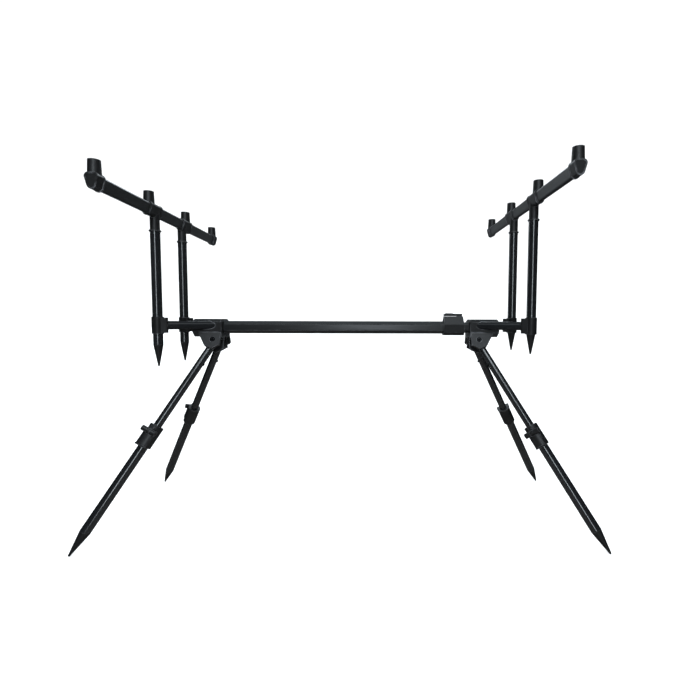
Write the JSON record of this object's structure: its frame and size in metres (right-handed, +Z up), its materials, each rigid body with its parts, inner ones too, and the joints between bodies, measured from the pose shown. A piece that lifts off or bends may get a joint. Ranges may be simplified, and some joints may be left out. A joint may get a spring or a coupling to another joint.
{
  "type": "fishing rod pod",
  "caption": "Free-standing rod pod: telescopic main bar on folding, telescopic legs with lever locks, and height-adjustable goalposts carrying buzz bars with threaded posts.",
  "frame": {"origin": "on the ground, at the middle of the rectangle of the four foot tips", "axes": "+X along the main bar from the fixed left end to the sliding right end, +Y from the front to the rear, +Z up"},
  "size_m": [0.9218, 0.4996, 0.6536],
  "materials": {
    "tube": "satin black anodised tube with fine lengthwise grain",
    "moulding": "matte charcoal moulded nylon, fine grain",
    "lever": "semi-matte black moulded plastic, polished by thumbs at the edges",
    "spike": "matte black moulded point, scuffed at the tip",
    "turned": "turned and black anodised, satin",
    "insert": "machined brass",
    "fastener": "blackened steel, slight oil sheen"
  },
  "bodies": {
    "main_frame": {"left_end_block": "moulding", "outer_main_bar": "tube", "main_lock_collar": "moulding", "main_lock_pin": "fastener", "left_arms": "tube", "left_sockets": "moulding", "left_hinge_bolts": "fastener"},
    "sliding_frame": {"right_end_block": "moulding", "inner_main_bar": "tube", "inner_bar_glide": "moulding", "right_arms": "tube", "right_sockets": "moulding", "right_hinge_bolts": "fastener"},
    "main_lever": {"main_lock_lever": "lever"},
    "left_goalpost": {"left_buzz_bar": "tube", "left_end_caps": "moulding", "left_brackets": "moulding", "left_thread_inserts": "insert", "left_uprights": "tube", "left_upright_studs": "turned", "left_upright_spikes": "spike"},
    "right_goalpost": {"right_buzz_bar": "tube", "right_end_caps": "moulding", "right_brackets": "moulding", "right_thread_inserts": "insert", "right_uprights": "tube", "right_upright_studs": "turned", "right_upright_spikes": "spike"},
    "left_front_upper_leg": {"left_front_leg_knuckle": "moulding", "left_front_leg_upper_tube": "tube"},
    "left_front_lower_leg": {"left_front_leg_lower_tube": "tube", "left_front_leg_collar": "moulding", "left_front_leg_pin": "fastener", "left_front_leg_spike": "spike"},
    "left_front_lever": {"left_front_leg_lever": "lever"},
    "left_front_screw": {"left_front_thumbscrew": "lever"},
    "left_rear_upper_leg": {"left_rear_leg_knuckle": "moulding", "left_rear_leg_upper_tube": "tube"},
    "left_rear_lower_leg": {"left_rear_leg_lower_tube": "tube", "left_rear_leg_collar": "moulding", "left_rear_leg_pin": "fastener", "left_rear_leg_spike": "spike"},
    "left_rear_lever": {"left_rear_leg_lever": "lever"},
    "left_rear_screw": {"left_rear_thumbscrew": "lever"},
    "right_front_upper_leg": {"right_front_leg_knuckle": "moulding", "right_front_leg_upper_tube": "tube"},
    "right_front_lower_leg": {"right_front_leg_lower_tube": "tube", "right_front_leg_collar": "moulding", "right_front_leg_pin": "fastener", "right_front_leg_spike": "spike"},
    "right_front_lever": {"right_front_leg_lever": "lever"},
    "right_front_screw": {"right_front_thumbscrew": "lever"},
    "right_rear_upper_leg": {"right_rear_leg_knuckle": "moulding", "right_rear_leg_upper_tube": "tube"},
    "right_rear_lower_leg": {"right_rear_leg_lower_tube": "tube", "right_rear_leg_collar": "moulding", "right_rear_leg_pin": "fastener", "right_rear_leg_spike": "spike"},
    "right_rear_lever": {"right_rear_leg_lever": "lever"},
    "right_rear_screw": {"right_rear_thumbscrew": "lever"}
  },
  "joints": [
    {"name": "main_bar_slide", "type": "slide", "parent": "main_frame", "child": "sliding_frame", "axis": [1, 0, 0], "range_m": [-0.006, 0.3]},
    {"name": "main_lever_turn", "type": "hinge", "parent": "main_frame", "child": "main_lever", "pos_m": [0.228, 0, 0.4001], "axis": [0, 1, 0], "range_deg": [0, 90]},
    {"name": "left_goalpost_height", "type": "slide", "parent": "main_frame", "child": "left_goalpost", "axis": [0, 0, 1], "range_m": [-0.148, 0.023]},
    {"name": "right_goalpost_height", "type": "slide", "parent": "sliding_frame", "child": "right_goalpost", "axis": [0, 0, 1], "range_m": [-0.172, 0]},
    {"name": "left_front_leg_fold", "type": "hinge", "parent": "main_frame", "child": "left_front_upper_leg", "pos_m": [-0.262, -0.0193, 0.355], "axis": [0, -0.9135, 0.4067], "range_deg": [0, 116]},
    {"name": "left_front_leg_slide", "type": "slide", "parent": "left_front_upper_leg", "child": "left_front_lower_leg", "axis": [0.454, 0.3624, 0.814], "range_m": [-0.02, 0.115]},
    {"name": "left_front_lever_turn", "type": "hinge", "parent": "left_front_lower_leg", "child": "left_front_lever", "pos_m": [-0.35263, -0.1091, 0.19798], "axis": [-0.8898, 0.1366, 0.4355], "range_deg": [0, 100]},
    {"name": "left_front_screw_turn", "type": "hinge", "parent": "main_frame", "child": "left_front_screw", "pos_m": [-0.354, -0.06, 0.388], "axis": [0, 1, 0], "range_deg": [0, 360]},
    {"name": "left_rear_leg_fold", "type": "hinge", "parent": "main_frame", "child": "left_rear_upper_leg", "pos_m": [-0.262, 0.0193, 0.355], "axis": [0, -0.9135, -0.4067], "range_deg": [0, 116]},
    {"name": "left_rear_leg_slide", "type": "slide", "parent": "left_rear_upper_leg", "child": "left_rear_lower_leg", "axis": [0.454, -0.3624, 0.814], "range_m": [-0.02, 0.115]},
    {"name": "left_rear_lever_turn", "type": "hinge", "parent": "left_rear_lower_leg", "child": "left_rear_lever", "pos_m": [-0.36059, 0.1058, 0.20095], "axis": [0.8008, 0.5664, -0.1945], "range_deg": [0, 100]},
    {"name": "left_rear_screw_turn", "type": "hinge", "parent": "main_frame", "child": "left_rear_screw", "pos_m": [-0.354, 0.06, 0.388], "axis": [0, -1, 0], "range_deg": [0, 360]},
    {"name": "right_front_leg_fold", "type": "hinge", "parent": "sliding_frame", "child": "right_front_upper_leg", "pos_m": [0.262, -0.0193, 0.355], "axis": [0, 0.9135, -0.4067], "range_deg": [0, 116]},
    {"name": "right_front_leg_slide", "type": "slide", "parent": "right_front_upper_leg", "child": "right_front_lower_leg", "axis": [-0.454, 0.3624, 0.814], "range_m": [-0.02, 0.115]},
    {"name": "right_front_lever_turn", "type": "hinge", "parent": "right_front_lower_leg", "child": "right_front_lever", "pos_m": [0.34395, -0.10775, 0.19254], "axis": [-0.7208, 0.3876, -0.5746], "range_deg": [0, 100]},
    {"name": "right_front_screw_turn", "type": "hinge", "parent": "sliding_frame", "child": "right_front_screw", "pos_m": [0.354, -0.06, 0.388], "axis": [0, 1, 0], "range_deg": [0, 360]},
    {"name": "right_rear_leg_fold", "type": "hinge", "parent": "sliding_frame", "child": "right_rear_upper_leg", "pos_m": [0.262, 0.0193, 0.355], "axis": [0, 0.9135, 0.4067], "range_deg": [0, 116]},
    {"name": "right_rear_leg_slide", "type": "slide", "parent": "right_rear_upper_leg", "child": "right_rear_lower_leg", "axis": [-0.454, -0.3624, 0.814], "range_m": [-0.02, 0.115]},
    {"name": "right_rear_lever_turn", "type": "hinge", "parent": "right_rear_lower_leg", "child": "right_rear_lever", "pos_m": [0.35348, 0.10895, 0.19839], "axis": [0.891, -0.1847, 0.4147], "range_deg": [0, 100]},
    {"name": "right_rear_screw_turn", "type": "hinge", "parent": "sliding_frame", "child": "right_rear_screw", "pos_m": [0.354, 0.06, 0.388], "axis": [0, -1, 0], "range_deg": [0, 360]}
  ]
}
